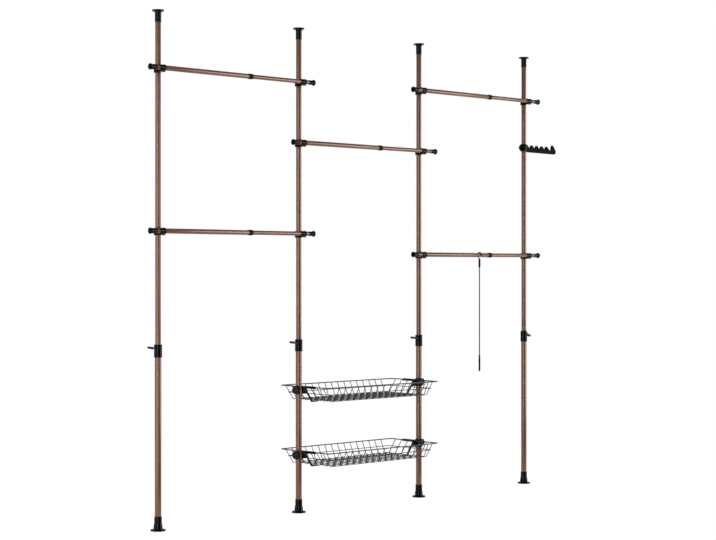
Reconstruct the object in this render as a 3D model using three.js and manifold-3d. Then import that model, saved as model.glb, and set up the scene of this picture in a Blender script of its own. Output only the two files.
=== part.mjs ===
// Open frame wardrobe: four telescopic poles stand in a row between floor and ceiling. Cross
// clamps hold five telescopic bars in front of them. Two wire baskets sit on brackets between the
// middle poles, a hook rail swivels on the last pole and a reach stick hangs on the lowest bar.
// Millimetres. +X runs along the row, -Y faces the person and +Z is up. The origin is on the floor,
// in the middle of the footprint.
import * as THREE from 'three';
import { mergeVertices } from 'three/addons/utils/BufferGeometryUtils.js';
import Module from 'manifold-3d';

const wasm = await Module();
wasm.setup();

// Driving dimensions
const rackHeight = 2500;
const leftBay = 907;
const middleBay = 890;
const rightBay = 885;

// Clearances
const slideGap = 0.3;
const seatGap = 0.3;
const cutOverrun = 5;

// Facets round a turned piece
const poleSides = 12;
const barSides = 12;
const smallSides = 8;
const wireSides = 4;
const hookSides = 6;
const knobPointsPerLobe = 3;
const stepsPerCorner = 3;
const stepsPerHook = 8;

// Pole tubes
const lowerTubeDiameter = 32;
const lowerTubeWall = 1.2;
const lowerTubeLength = 858;
const upperTubeDiameter = 28;
const upperTubeWall = 1;
const upperTubeInsertion = 380;
const guideBushLength = 30;

// Feet
const footHeight = 70;
const footFloor = 8;
const footSleeveWall = 2;
const footFlangeDiameter = 75;
const footFlangeThickness = 6;
const footFlareHeight = 9;
const footBulgeDiameter = 46;
const footBulgeHeight = 32;
const footRibCount = 6;
const footRibThickness = 4;
const footRibEdgeHeight = 7;
const footRibHeightShare = 0.38;
const footRibReachShare = 0.86;

// Ceiling caps
const capHeight = 59;
const capDiscDiameter = 60;
const capDiscThickness = 8;
const capSleeveWall = 1;
const capFlareHeight = 10;
const capFlareDiameter = 37;
const capCupDepth = 34;

// Lock collars and their levers
const collarHeight = 61;
const collarGrip = 33;
const collarDiameter = 41;
const collarEarBite = 0.5;
const leverPivotHeight = 44;
const leverPivotOffset = 26;
const leverHubRadius = 4.5;
const leverHubWidth = 8;
const leverPinRadius = 2;
const leverEarThickness = 3;
const leverEarRadius = 5;
const leverArmLength = 14;
const leverArmThickness = 9;
const leverTipLength = 18;
const leverTipThickness = 8;
const leverTipRise = 9.5;
const leverTipWidth = 15;
const leverDroop = 35;

// Hanging bars
const barOffset = 46;
const outerBarDiameter = 25;
const outerBarWall = 1;
const outerBarLength = 635;
const innerBarDiameter = 22;
const innerBarWall = 1;
const innerBarInsertion = 250;
const barGuideLength = 15;
const reducerLength = 26;
const reducerDiameter = 29;
const barCapLength = 39;
const barCapDiscDiameter = 32;
const barCapDiscThickness = 4;
const barCapEdge = 1;
const barCapWall = 0.8;
const barCapPlug = 12;
const leftBayOverhang = 84;
const leftBayEnd = 63;
const middleBayOverhang = 81;
const middleBayEnd = 85;
const rightBayOverhang = 93.5;
const rightBayEnd = 75;

// Places on the upper tubes, as shares of the room between lock collar and ceiling cap
const topLeftBarShare = 0.856;
const lowLeftBarShare = 0.352;
const middleBarShare = 0.654;
const topRightBarShare = 0.869;
const lowRightBarShare = 0.286;
const hookRailShare = 0.694;

// Cross clamps
const clampPoleWall = 3.5;
const clampAbove = 14;
const clampBelow = 20;
const clampBarLength = 32;
const clampBarShift = 9;
const clampBarWall = 3.5;
const clampNeckWidth = 16;
const clampLugWidth = 14;
const clampLugDrop = 5;
const clampSlit = 2;

// Wire baskets
const basketWidth = 365;
const basketDepth = 72;
const basketEndGap = 37.5;
const basketEndSlope = 52;
const basketSideSlope = 31;
const basketCornerRadius = 12;
const basketBendRadius = 8;
const basketRimRadius = 3;
const basketWireRadius = 2;
const basketWireBite = 0.8;
const basketCrossPitch = 47;
const basketLengthPitch = 47.5;
const basketEdgeRoom = 8;
const basketRingShare = 0.5;

// Places of the basket rims, as shares of the room between foot and lock collar
const upperBasketShare = 0.7566;
const lowerBasketShare = 0.3185;

// Screw clamps of the basket brackets and the hook rail
const gripWall = 4.5;
const gripHeight = 42;
const gripBossRadius = 10;
const gripBossLength = 1;
const gripKnobTurn = 20;
const knobDiameter = 46;
const knobThickness = 12;
const knobLobes = 7;
const knobLobeDepth = 2.5;
const knobStudRadius = 4;
const knobStudLength = 5.5;

// Basket brackets
const bracketTopRise = 8;
const bracketMouthStart = 238;
const bracketMouthEnd = 322;
const bracketBlockReach = 47;
const bracketBlockThickness = 12;
const bracketBlockPlace = -7;
const bracketArmReach = 92;
const bracketArmBack = 40;
const bracketArmHeight = 4;
const bracketLipWidth = 3;
const bracketLipRise = 9;
const bracketStrutWidth = 8;
const bracketStrutThickness = 6;
const bracketToeLength = 36;

// Hook rail
const railReach = 320;
const railTurn = 5;
const railDrop = 13;
const railHeight = 21.5;
const railThickness = 12;
const railHookCount = 6;
const railHookPitch = 50.5;
const railHookRise = 23;
const railHookFront = 29;
const railHookBack = 7;
const railHookTip = 12;
const railHookTipRound = 3.3;
const railHookTipDrop = 4;
const railEndInset = 37;
const railEndRoom = 10.5;
const railEndRise = 10;
const railEndRound = 16;

// Reach stick
const stickPlaceShare = 0.825;
const stickLength = 677;
const stickHookWire = 5;
const stickHookPlay = 1;
const stickHookStart = -5;
const stickHookEnd = 245;
const stickNeckLength = 6.5;
const stickSocketLength = 49;
const stickSocketDiameter = 12;
const stickRodDiameter = 7;
const stickGripLength = 93;
const stickGripDiameter = 11;
const stickSeatDepth = 15;

const blackPlastic = { color: 0x17171a, roughness: 0.45, metalness: 0 };
const brownLacquer = { color: 0x7a5a4a, roughness: 0.32, metalness: 0.3 };
const blackWire = { color: 0x2b2b2e, roughness: 0.4, metalness: 0.6 };
const greyRod = { color: 0x6d625c, roughness: 0.35, metalness: 0.5 };

const group = new THREE.Group();

// The smallest bore radius whose flats clear a round piece of the given radius.
function boreRadius(radius, sides) {
  return radius / Math.cos(Math.PI / sides);
}

// A closed three.js geometry becomes a solid. Its points are welded and its faces turned outwards.
function solidOf(geometry) {
  const bare = new THREE.BufferGeometry();
  bare.setAttribute('position', geometry.getAttribute('position').clone());
  if (geometry.index) bare.setIndex(geometry.index.clone());
  const welded = mergeVertices(bare);
  const points = welded.getAttribute('position').array;
  const corners = welded.index.array;
  const faces = [];
  let volume = 0;
  for (let i = 0; i < corners.length; i += 3) {
    const [a, b, c] = [corners[i], corners[i + 1], corners[i + 2]];
    if (a === b || b === c || c === a) continue;
    faces.push([a, b, c]);
    const [p, q, r] = [a, b, c].map((k) => new THREE.Vector3().fromArray(points, 3 * k));
    volume += p.dot(q.cross(r));
  }
  const outward = volume > 0 ? faces : faces.map(([a, b, c]) => [a, c, b]);
  const mesh = new wasm.Mesh({
    numProp: 3,
    vertProperties: Float32Array.from(points),
    triVerts: Uint32Array.from(outward.flat()),
  });
  return new wasm.Manifold(mesh);
}

function joined(solids) {
  return solids.reduce((whole, next) => whole.add(next));
}

// A turned piece about Z from a closed profile of [radius, height] pairs.
function turned(profile, sides) {
  const points = profile.map(([radius, height]) => new THREE.Vector2(radius, height));
  const start = points[0];
  const end = points[points.length - 1];
  if (start.x !== 0 || end.x !== 0) points.push(start.clone());
  const geometry = new THREE.LatheGeometry(points, sides, Math.PI / sides);
  return solidOf(geometry.rotateX(Math.PI / 2));
}

function block(xRange, yRange, zRange) {
  const size = [xRange, yRange, zRange].map(([low, high]) => high - low);
  const middle = [xRange, yRange, zRange].map(([low, high]) => (low + high) / 2);
  return solidOf(new THREE.BoxGeometry(...size).translate(...middle));
}

// A plate in the XZ plane, centred on Y, from an outline of [x, z] pairs.
function plate(outline, thickness) {
  const shape = new THREE.Shape(outline.map(([x, z]) => new THREE.Vector2(x, z)));
  const geometry = new THREE.ExtrudeGeometry(shape, { depth: thickness, bevelEnabled: false });
  return solidOf(geometry.rotateX(Math.PI / 2).translate(0, thickness / 2, 0));
}

// A round rod along Z between two heights.
function rod(radius, low, high, sides) {
  return turned([[0, low], [radius, low], [radius, high], [0, high]], sides);
}

// A round pin along Y between two places.
function pinAlongY(radius, low, high, sides) {
  return rod(radius, low, high, sides).rotate([-90, 0, 0]);
}

// A path through given stations, so that a swept wire has one ring of points at each of them.
class StationPath extends THREE.Curve {
  constructor(stations, closed) {
    super();
    this.stations = stations;
    this.closed = closed;
    this.spans = closed ? stations.length : stations.length - 1;
  }

  stationAt(index) {
    const count = this.stations.length;
    const wrapped = (index + count) % count;
    return this.stations[this.closed ? wrapped : THREE.MathUtils.clamp(index, 0, count - 1)];
  }

  getPointAt(share, target = new THREE.Vector3()) {
    return target.copy(this.stationAt(Math.round(share * this.spans)));
  }

  getTangentAt(share, target = new THREE.Vector3()) {
    const index = Math.round(share * this.spans);
    const before = new THREE.Vector3().subVectors(this.stationAt(index), this.stationAt(index - 1));
    const after = new THREE.Vector3().subVectors(this.stationAt(index + 1), this.stationAt(index));
    return target.addVectors(before.normalize(), after.normalize()).normalize();
  }
}

// A wire of four or more sides swept through stations. A closed wire has no end faces.
function wire(stations, radius, sides, closed = false) {
  const path = new StationPath(stations, closed);
  const section = new THREE.Shape();
  for (let i = 0; i < sides; i += 1) {
    const angle = (2 * Math.PI * i) / sides;
    const corner = [radius * Math.cos(angle), radius * Math.sin(angle)];
    if (i === 0) section.moveTo(...corner);
    else section.lineTo(...corner);
  }
  const settings = { steps: path.spans, extrudePath: path };
  const geometry = new THREE.ExtrudeGeometry(section, settings);
  if (!closed) return solidOf(geometry);
  const walls = geometry.groups[1];
  const places = geometry.getAttribute('position').array;
  const kept = places.slice(3 * walls.start, 3 * (walls.start + walls.count));
  const sleeve = new THREE.BufferGeometry();
  sleeve.setAttribute('position', new THREE.BufferAttribute(kept, 3));
  return solidOf(sleeve);
}

// One finished piece becomes a named mesh.
function addPiece(name, solid, finish) {
  const { vertProperties, triVerts } = solid.getMesh();
  const geometry = new THREE.BufferGeometry();
  geometry.setAttribute('position', new THREE.BufferAttribute(new Float32Array(vertProperties), 3));
  geometry.setIndex(new THREE.BufferAttribute(new Uint32Array(triVerts), 1));
  geometry.computeVertexNormals();
  const mesh = new THREE.Mesh(geometry, new THREE.MeshStandardMaterial(finish));
  mesh.name = name;
  group.add(mesh);
}

// Places of the four poles along X. The row's whole length is centred on the origin.
const railAngle = THREE.MathUtils.degToRad(railTurn);
const railSpan = railReach * Math.cos(railAngle) + (railThickness / 2) * Math.sin(railAngle);
const wholeLength = leftBayOverhang + leftBay + middleBay + rightBay + railSpan;
const firstPole = leftBayOverhang - wholeLength / 2;
const poles = [firstPole, firstPole + leftBay, firstPole + leftBay + middleBay];
poles.push(poles[2] + rightBay);

// Heights along a pole
const lowerTubeFoot = footFloor + seatGap;
const lowerTubeTop = lowerTubeFoot + lowerTubeLength;
const collarBottom = lowerTubeTop - collarGrip;
const collarTop = collarBottom + collarHeight;
const capBottom = rackHeight - capHeight;
const upperTubeBottom = lowerTubeTop - upperTubeInsertion;
const upperTubeTop = capBottom + capCupDepth - seatGap;
const leverHeight = collarBottom + leverPivotHeight;

function heightOnUpperTube(share) {
  return THREE.MathUtils.lerp(collarTop, capBottom, share);
}

function heightOnLowerTube(share) {
  return THREE.MathUtils.lerp(footHeight, collarBottom, share);
}

function foot() {
  const cup = boreRadius(lowerTubeDiameter / 2 + seatGap, poleSides);
  const sleeve = cup + footSleeveWall;
  const flange = footFlangeDiameter / 2;
  const bulge = footBulgeDiameter / 2;
  const body = turned([
    [0, 0],
    [flange, 0],
    [flange, footFlangeThickness],
    [bulge, footFlareHeight],
    [bulge - footSleeveWall, footBulgeHeight],
    [sleeve, footBulgeHeight + footFloor],
    [sleeve, footHeight],
    [cup, footHeight],
    [cup, footFloor],
    [0, footFloor],
  ], poleSides);
  const reach = flange * footRibReachShare;
  const ribTop = footBulgeHeight * footRibHeightShare;
  const rootRadius = (lowerTubeDiameter / 2 + bulge) / 2;
  const ribOutline = [
    [rootRadius, footFlangeThickness / 2],
    [reach, footFlangeThickness / 2],
    [reach, footRibEdgeHeight],
    [rootRadius, ribTop],
  ];
  const rib = plate(ribOutline, footRibThickness);
  const ribs = [];
  for (let i = 0; i < footRibCount; i += 1) {
    ribs.push(rib.rotate([0, 0, (i * 360) / footRibCount]));
  }
  return joined([body, ...ribs]).subtract(rod(cup, footFloor, footHeight, poleSides));
}

function lowerTube() {
  const outer = lowerTubeDiameter / 2;
  const inner = outer - lowerTubeWall;
  return turned([
    [inner, lowerTubeFoot],
    [outer, lowerTubeFoot],
    [outer, lowerTubeTop],
    [inner, lowerTubeTop],
  ], poleSides);
}

// The upper tube carries a wider guide bush at its lower end, which fills the lower tube's bore.
function upperTube() {
  const outer = upperTubeDiameter / 2;
  const inner = outer - upperTubeWall;
  const lowerBore = (lowerTubeDiameter / 2 - lowerTubeWall) * Math.cos(Math.PI / poleSides);
  const bush = (lowerBore - slideGap) / Math.cos(Math.PI / poleSides);
  return turned([
    [inner, upperTubeBottom],
    [bush, upperTubeBottom],
    [bush, upperTubeBottom + guideBushLength],
    [outer, upperTubeBottom + guideBushLength],
    [outer, upperTubeTop],
    [inner, upperTubeTop],
  ], poleSides);
}

function ceilingCap() {
  const cup = boreRadius(upperTubeDiameter / 2 + seatGap, poleSides);
  const sleeve = cup + capSleeveWall;
  const discBottom = rackHeight - capDiscThickness;
  return turned([
    [0, capBottom + capCupDepth],
    [cup, capBottom + capCupDepth],
    [cup, capBottom],
    [sleeve, capBottom],
    [sleeve, discBottom - capFlareHeight],
    [capFlareDiameter / 2, discBottom],
    [capDiscDiameter / 2, discBottom],
    [capDiscDiameter / 2, rackHeight],
    [0, rackHeight],
  ], poleSides);
}

// The collar grips the lower tube, and its shoulder rests on that tube's end. Two ears carry the
// lever's pin. The lever points along +X here.
function lockCollar() {
  const outer = collarDiameter / 2;
  const lowerBore = boreRadius(lowerTubeDiameter / 2 + seatGap, poleSides);
  const upperBore = boreRadius(upperTubeDiameter / 2 + slideGap, poleSides);
  const shoulder = lowerTubeTop + seatGap;
  const sleeve = turned([
    [lowerBore, collarBottom],
    [outer, collarBottom],
    [outer, collarTop],
    [upperBore, collarTop],
    [upperBore, shoulder],
    [lowerBore, shoulder],
  ], poleSides);
  const earInside = leverHubWidth / 2 + slideGap;
  const earOutside = earInside + leverEarThickness;
  const earRoot = (outer + lowerBore) / 2 - collarEarBite;
  const earOutline = [
    [earRoot, leverHeight - leverEarRadius],
    [leverPivotOffset + leverEarRadius, leverHeight - leverEarRadius],
    [leverPivotOffset + leverEarRadius, leverHeight + leverEarRadius],
    [earRoot, leverHeight + leverEarRadius],
  ];
  const ear = plate(earOutline, leverEarThickness);
  const earMiddle = (earInside + earOutside) / 2;
  const ears = [ear.translate([0, earMiddle, 0]), ear.translate([0, -earMiddle, 0])];
  const holeRadius = boreRadius(leverPinRadius + slideGap, smallSides);
  const reach = earOutside + cutOverrun;
  const hole = pinAlongY(holeRadius, -reach, reach, smallSides);
  return joined([sleeve, ...ears]).subtract(hole.translate([leverPivotOffset, 0, leverHeight]));
}

// A cam lever on trunnions: a straight root between the ears and a broad tip kinked upwards.
function lockLever(droop) {
  const pin = leverHubWidth / 2 + slideGap + leverEarThickness;
  const hub = pinAlongY(leverHubRadius, -leverHubWidth / 2, leverHubWidth / 2, barSides);
  const trunnions = pinAlongY(leverPinRadius, -pin, pin, smallSides);
  const half = leverArmThickness / 2;
  const tipEnd = leverArmLength + leverTipLength;
  const arm = block([0, leverArmLength], [-leverHubWidth / 2, leverHubWidth / 2], [-half, half]);
  const tipStart = leverEarRadius * Math.SQRT2 + seatGap;
  const tip = plate([
    [tipStart, -half],
    [leverArmLength, -half],
    [tipEnd, leverTipRise - leverTipThickness],
    [tipEnd, leverTipRise],
    [leverArmLength - half, half],
    [tipStart, half],
  ], leverTipWidth);
  return joined([hub, trunnions, arm, tip])
    .rotate([0, droop, 0])
    .translate([leverPivotOffset, 0, leverHeight]);
}

// Outer half of a hanging bar, from its flanged end cap to the reducer that guides the inner tube.
// It is turned about Z with the tip at zero, and laid along +X afterwards.
function outerBar() {
  const outer = outerBarDiameter / 2;
  const inner = outer - outerBarWall;
  const sleeve = outer + barCapWall;
  const disc = barCapDiscDiameter / 2;
  const reducerStart = outerBarLength - reducerLength;
  const reducerBore = boreRadius(innerBarDiameter / 2 + slideGap, barSides);
  return turned([
    [0, 0],
    [disc - barCapEdge, 0],
    [disc, barCapEdge],
    [disc, barCapDiscThickness],
    [sleeve, barCapDiscThickness],
    [sleeve, barCapLength],
    [outer, barCapLength],
    [outer, reducerStart],
    [reducerDiameter / 2, reducerStart],
    [reducerDiameter / 2, outerBarLength],
    [reducerBore, outerBarLength],
    [reducerBore, reducerStart],
    [inner, reducerStart - seatGap],
    [inner, barCapPlug],
    [0, barCapPlug],
  ], barSides);
}

// Inner half of a hanging bar: a guide ring that runs in the outer tube, and the right end cap.
function innerBar(length) {
  const outer = innerBarDiameter / 2;
  const inner = outer - innerBarWall;
  const outerBore = (outerBarDiameter / 2 - outerBarWall) * Math.cos(Math.PI / barSides);
  const guide = (outerBore - slideGap) / Math.cos(Math.PI / barSides);
  const disc = barCapDiscDiameter / 2;
  return turned([
    [0, length],
    [disc - barCapEdge, length],
    [disc, length - barCapEdge],
    [disc, length - barCapDiscThickness],
    [outer + barCapWall, length - barCapDiscThickness],
    [outer + barCapWall, length - barCapLength],
    [outer, length - barCapLength],
    [outer, barGuideLength],
    [guide, barGuideLength],
    [guide, 0],
    [inner, 0],
    [inner, length - barCapPlug],
    [0, length - barCapPlug],
  ], barSides);
}

// A cross clamp, centred on its pole at the bar's height: a split ring round the pole, a longer
// split ring round the bar in front of it that reaches further to the left, a neck between them
// and a pinch lug under the bar.
function crossClamp(barDiameter) {
  const poleBore = boreRadius(upperTubeDiameter / 2 + slideGap, barSides);
  const poleRing = poleBore + clampPoleWall;
  const barBore = boreRadius(barDiameter / 2 + seatGap, barSides);
  const barRing = barBore + clampBarWall;
  const ringLeft = -clampBarShift - clampBarLength / 2;
  const ringRight = ringLeft + clampBarLength;
  const roundPole = rod(poleRing, -clampBelow, clampAbove, barSides);
  const layOnBar = (solid) => solid.rotate([0, 90, 0]).translate([0, -barOffset, 0]);
  const roundBar = layOnBar(rod(barRing, ringLeft, ringRight, barSides));
  const neck = block(
    [-clampNeckWidth / 2, clampNeckWidth / 2],
    [-barOffset, 0],
    [-clampBelow + clampLugDrop, clampAbove - clampBarWall],
  );
  const lugBottom = -barRing - clampLugDrop;
  const lug = block(
    [ringLeft, ringRight],
    [-barOffset - clampLugWidth / 2, -barOffset + clampLugWidth / 2],
    [lugBottom, -barBore],
  );
  const reach = clampAbove + clampBelow + cutOverrun;
  const poleHole = rod(poleBore, -reach, reach, barSides);
  const barHole = layOnBar(rod(barBore, -reach, reach, barSides));
  const poleSlit = block([-clampSlit / 2, clampSlit / 2], [0, poleRing + cutOverrun], [-reach, reach]);
  const barSlit = block(
    [-reach, reach],
    [-barOffset - clampSlit / 2, -barOffset + clampSlit / 2],
    [lugBottom - cutOverrun, 0],
  );
  return joined([roundPole, roundBar, neck, lug])
    .subtract(poleHole)
    .subtract(barHole)
    .subtract(poleSlit)
    .subtract(barSlit);
}

// Stations round a level rounded rectangle.
function roundedLoop(halfLength, halfWidth, cornerRadius, height) {
  const stations = [];
  [[1, 1], [-1, 1], [-1, -1], [1, -1]].forEach(([alongX, alongY], corner) => {
    for (let i = 0; i <= stepsPerCorner; i += 1) {
      const angle = ((corner + i / stepsPerCorner) * Math.PI) / 2;
      stations.push(new THREE.Vector3(
        alongX * (halfLength - cornerRadius) + cornerRadius * Math.cos(angle),
        alongY * (halfWidth - cornerRadius) + cornerRadius * Math.sin(angle),
        height,
      ));
    }
  });
  return stations;
}

// Stations of a U-shaped wire as [along, height] pairs: down one sloping wall, across the bottom
// and up the other wall, with each bend in two steps.
function basketU(halfRim, slope, drop) {
  const halfBottom = halfRim - slope;
  const wall = Math.hypot(slope, drop);
  const run = basketBendRadius / wall;
  const start = [halfBottom + slope * run, drop * run - drop];
  const end = [halfBottom - basketBendRadius, -drop];
  const bend = [(start[0] + end[0] + 2 * halfBottom) / 4, (start[1] + end[1] - 2 * drop) / 4];
  const half = [[halfRim, 0], start, bend, end];
  return [...half, ...half.reverse().map(([along, height]) => [-along, height])];
}

// Evenly pitched places, centred on zero, that fit in a given half length.
function pitched(halfLength, pitch) {
  const each = Math.floor(halfLength / pitch);
  return Array.from({ length: 2 * each + 1 }, (_, i) => (i - each) * pitch);
}

const basketHalfLength = middleBay / 2 - basketEndGap;
const basketHalfWidth = basketWidth / 2;
const basketWireLayer = 2 * basketWireRadius - basketWireBite;

// A basket about its own centre, with its rim at zero height. The cross wires lie on the lengthwise
// ones, and the ring lies inside both, each biting a little into the next as welded wires do.
function basket() {
  const solids = [];
  const rim = roundedLoop(basketHalfLength, basketHalfWidth, basketCornerRadius, 0);
  solids.push(wire(rim, basketRimRadius, wireSides, true));
  const crossDrop = basketDepth - basketWireLayer;
  for (const x of pitched(basketHalfLength - basketEndSlope - basketEdgeRoom, basketCrossPitch)) {
    const stations = basketU(basketHalfWidth, basketSideSlope, crossDrop)
      .map(([y, z]) => new THREE.Vector3(x, y, z));
    solids.push(wire(stations, basketWireRadius, wireSides));
  }
  for (const y of pitched(basketHalfWidth - basketSideSlope - basketEdgeRoom, basketLengthPitch)) {
    const stations = basketU(basketHalfLength, basketEndSlope, basketDepth)
      .map(([x, z]) => new THREE.Vector3(x, y, z));
    solids.push(wire(stations, basketWireRadius, wireSides));
  }
  const ringDrop = basketDepth * basketRingShare;
  const endInset = basketWireRadius / Math.cos(Math.atan(basketEndSlope / basketDepth));
  const sideInset = basketWireRadius / Math.cos(Math.atan(basketSideSlope / crossDrop));
  const ringInset = basketWireRadius - basketWireBite;
  const ring = roundedLoop(
    basketHalfLength - basketEndSlope * basketRingShare - endInset - ringInset,
    basketHalfWidth - (basketSideSlope * ringDrop) / crossDrop - sideInset - ringInset,
    basketCornerRadius,
    -ringDrop,
  );
  solids.push(wire(ring, basketWireRadius, wireSides, true));
  return joined(solids);
}

// A part made along +Y is turned to where every screw clamp has its knob: towards -X and a little
// to the person.
function towardsKnob(solid) {
  return solid.rotate([0, 0, 90 + gripKnobTurn]);
}

// The grip of a screw clamp about Z, with its boss on the knob's side. Heights are about the
// screw's axis.
function screwGrip(tubeDiameter) {
  const bore = boreRadius(tubeDiameter / 2 + slideGap, poleSides);
  const outer = bore + gripWall;
  const half = gripHeight / 2;
  const bossEnd = outer + gripBossLength;
  const ring = rod(outer, -half, half, poleSides);
  const boss = pinAlongY(gripBossRadius, bore, bossEnd, barSides);
  return { bore, outer, bossEnd, body: ring.add(towardsKnob(boss)) };
}

function gripCuts(body, bore, bossEnd) {
  const reach = gripHeight + cutOverrun;
  const tubeHole = rod(bore, -reach, reach, poleSides);
  const studBore = boreRadius(knobStudRadius + slideGap, smallSides);
  const studHole = towardsKnob(pinAlongY(studBore, 0, bossEnd + cutOverrun, smallSides));
  return body.subtract(tubeHole).subtract(studHole);
}

// A lobed knob with its stud, outwards from the end of the boss.
function knob(bossEnd) {
  const points = [];
  const count = knobLobes * knobPointsPerLobe;
  for (let i = 0; i < count; i += 1) {
    const angle = (2 * Math.PI * i) / count;
    const radius = knobDiameter / 2 - (knobLobeDepth * (1 - Math.cos(knobLobes * angle))) / 2;
    points.push([radius * Math.cos(angle), radius * Math.sin(angle)]);
  }
  const head = plate(points, knobThickness).translate([0, bossEnd + seatGap + knobThickness / 2, 0]);
  const studStart = bossEnd + seatGap - knobStudLength;
  const stud = pinAlongY(knobStudRadius, studStart, bossEnd + seatGap + knobThickness / 2, smallSides);
  return towardsKnob(head.add(stud));
}

const bracketScrewDrop = gripHeight / 2 - bracketTopRise;

// The wedge that opens a bracket's grip, between two directions about Z.
function bracketMouth(radius) {
  const middle = (bracketMouthStart + bracketMouthEnd) / 2;
  const corners = [bracketMouthStart, middle, bracketMouthEnd].map((degrees) => {
    const angle = THREE.MathUtils.degToRad(degrees);
    return [radius * Math.cos(angle), radius * Math.sin(angle)];
  });
  return plate([[0, 0], ...corners], gripHeight + cutOverrun).rotate([-90, 0, 0]);
}

// A basket bracket on the left pole of its bay. The rim's height is zero and the basket lies
// towards +X. The clamp is a C that is open to -Y, with its block between pole and basket. The arm
// lies along the rim's end. Its lip keeps the rim from sliding to the pole, and the strut follows
// the basket's end wall down to a toe under its bottom.
function basketBracket() {
  const grip = screwGrip(lowerTubeDiameter);
  const top = -basketRimRadius - seatGap;
  const bottom = top - bracketArmHeight;
  const lipFace = basketEndGap - basketRimRadius - seatGap;
  const slope = basketEndSlope / basketDepth;
  const clear = basketWireRadius / Math.cos(Math.atan(slope)) + seatGap;
  const wallAt = (drop) => basketEndGap + slope * drop - clear;
  const armOuter = wallAt(-top);
  const blockRoot = (grip.bore + grip.outer) / 2;
  const blockBottom = bracketTopRise - gripHeight;
  const blockShoulder = (basketEndGap - clear - bracketBlockReach) / slope;
  const jaw = plate([
    [blockRoot, top],
    [armOuter, top],
    [bracketBlockReach, blockShoulder],
    [bracketBlockReach, blockBottom],
    [blockRoot, blockBottom],
  ], bracketBlockThickness);
  const alongArm = [-bracketArmReach, bracketArmBack];
  const lipBack = lipFace - bracketLipWidth;
  const arm = block([lipBack, armOuter], alongArm, [bottom, top]);
  const lip = block([lipBack, lipFace], alongArm, [bottom, top + bracketLipRise]);
  const toeTop = basketDepth + basketWireRadius + seatGap;
  const toeBottom = toeTop + bracketStrutThickness;
  const strut = plate([
    [armOuter - bracketStrutThickness, top - seatGap],
    [armOuter, top - seatGap],
    [wallAt(toeTop), -toeTop],
    [wallAt(toeTop) + bracketToeLength, -toeTop],
    [wallAt(toeTop) + bracketToeLength, -toeBottom],
    [wallAt(toeTop) - bracketStrutThickness, -toeBottom],
  ], bracketStrutWidth);
  const openGrip = grip.body.subtract(bracketMouth(2 * grip.outer));
  const lowered = openGrip.translate([0, 0, -bracketScrewDrop]);
  const upright = jaw.add(strut).translate([0, bracketBlockPlace, 0]);
  const whole = joined([lowered, upright, arm, lip]);
  const centred = gripCuts(whole.translate([0, 0, bracketScrewDrop]), grip.bore, grip.bossEnd);
  return centred.translate([0, 0, -bracketScrewDrop]);
}

// The hook rail about its pole: a notched bar towards +X, a little below the screw's axis. Its
// hooks lean back to the pole, and the one at its end is taller.
function hookRail() {
  const grip = screwGrip(upperTubeDiameter);
  const top = railHeight / 2 - railDrop;
  const bottom = top - railHeight;
  const outline = [[0, bottom], [railReach - railEndRound, bottom], [railReach, bottom + railEndRound]];
  for (let i = 0; i < railHookCount; i += 1) {
    const atEnd = i === 0;
    const tipInside = railReach - railEndInset - i * railHookPitch - (atEnd ? 0 : railEndRoom);
    const tipOutside = tipInside + railHookTip;
    const tip = top + railHookRise + (atEnd ? railEndRise : 0);
    outline.push([atEnd ? railReach : tipOutside + railHookFront, top]);
    outline.push([tipOutside, tip - railHookTipRound]);
    outline.push([tipOutside - railHookTipRound, tip]);
    outline.push([tipInside, tip - railHookTipDrop]);
    outline.push([tipInside - railHookBack, top]);
  }
  outline.push([0, top]);
  const body = grip.body.add(plate(outline, railThickness));
  return gripCuts(body, grip.bore, grip.bossEnd).rotate([0, 0, railTurn]);
}

// The stick's head: a wire hook over the bar, a neck back to the middle and the socket below it.
// Heights are about the bar's axis.
const stickTop = outerBarDiameter / 2 + stickHookPlay + stickHookWire;
const stickSocketTop = -outerBarDiameter / 2 - stickNeckLength;
const stickSocketBottom = stickSocketTop - stickSocketLength;
const stickBottom = stickTop - stickLength;

function stickHead() {
  const bend = outerBarDiameter / 2 + stickHookPlay + stickHookWire / 2;
  const stations = [];
  for (let i = 0; i <= stepsPerHook; i += 1) {
    const turn = THREE.MathUtils.lerp(stickHookStart, stickHookEnd, i / stepsPerHook);
    const angle = THREE.MathUtils.degToRad(turn);
    stations.push(new THREE.Vector3(0, -bend * Math.cos(angle), bend * Math.sin(angle)));
  }
  stations.push(new THREE.Vector3(0, 0, stickSocketTop));
  stations.push(new THREE.Vector3(0, 0, stickSocketTop - stickSeatDepth));
  const hook = wire(stations, stickHookWire / 2, hookSides);
  const outer = stickSocketDiameter / 2;
  const bore = boreRadius(stickRodDiameter / 2 + seatGap, smallSides);
  const seat = stickSocketBottom + stickSeatDepth + seatGap;
  const socket = turned([
    [0, seat],
    [bore, seat],
    [bore, stickSocketBottom],
    [outer, stickSocketBottom],
    [outer, stickSocketTop],
    [0, stickSocketTop],
  ], smallSides);
  return hook.add(socket);
}

function stickRod() {
  const radius = stickRodDiameter / 2;
  const top = stickSocketBottom + stickSeatDepth;
  const bottom = stickBottom + stickGripLength - stickSeatDepth;
  return rod(radius, bottom, top, smallSides);
}

function stickGrip() {
  const outer = stickGripDiameter / 2;
  const bore = boreRadius(stickRodDiameter / 2 + seatGap, smallSides);
  const top = stickBottom + stickGripLength;
  const seat = top - stickSeatDepth - seatGap;
  return turned([
    [0, stickBottom],
    [outer, stickBottom],
    [outer, top],
    [bore, top],
    [bore, seat],
    [0, seat],
  ], smallSides);
}

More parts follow.
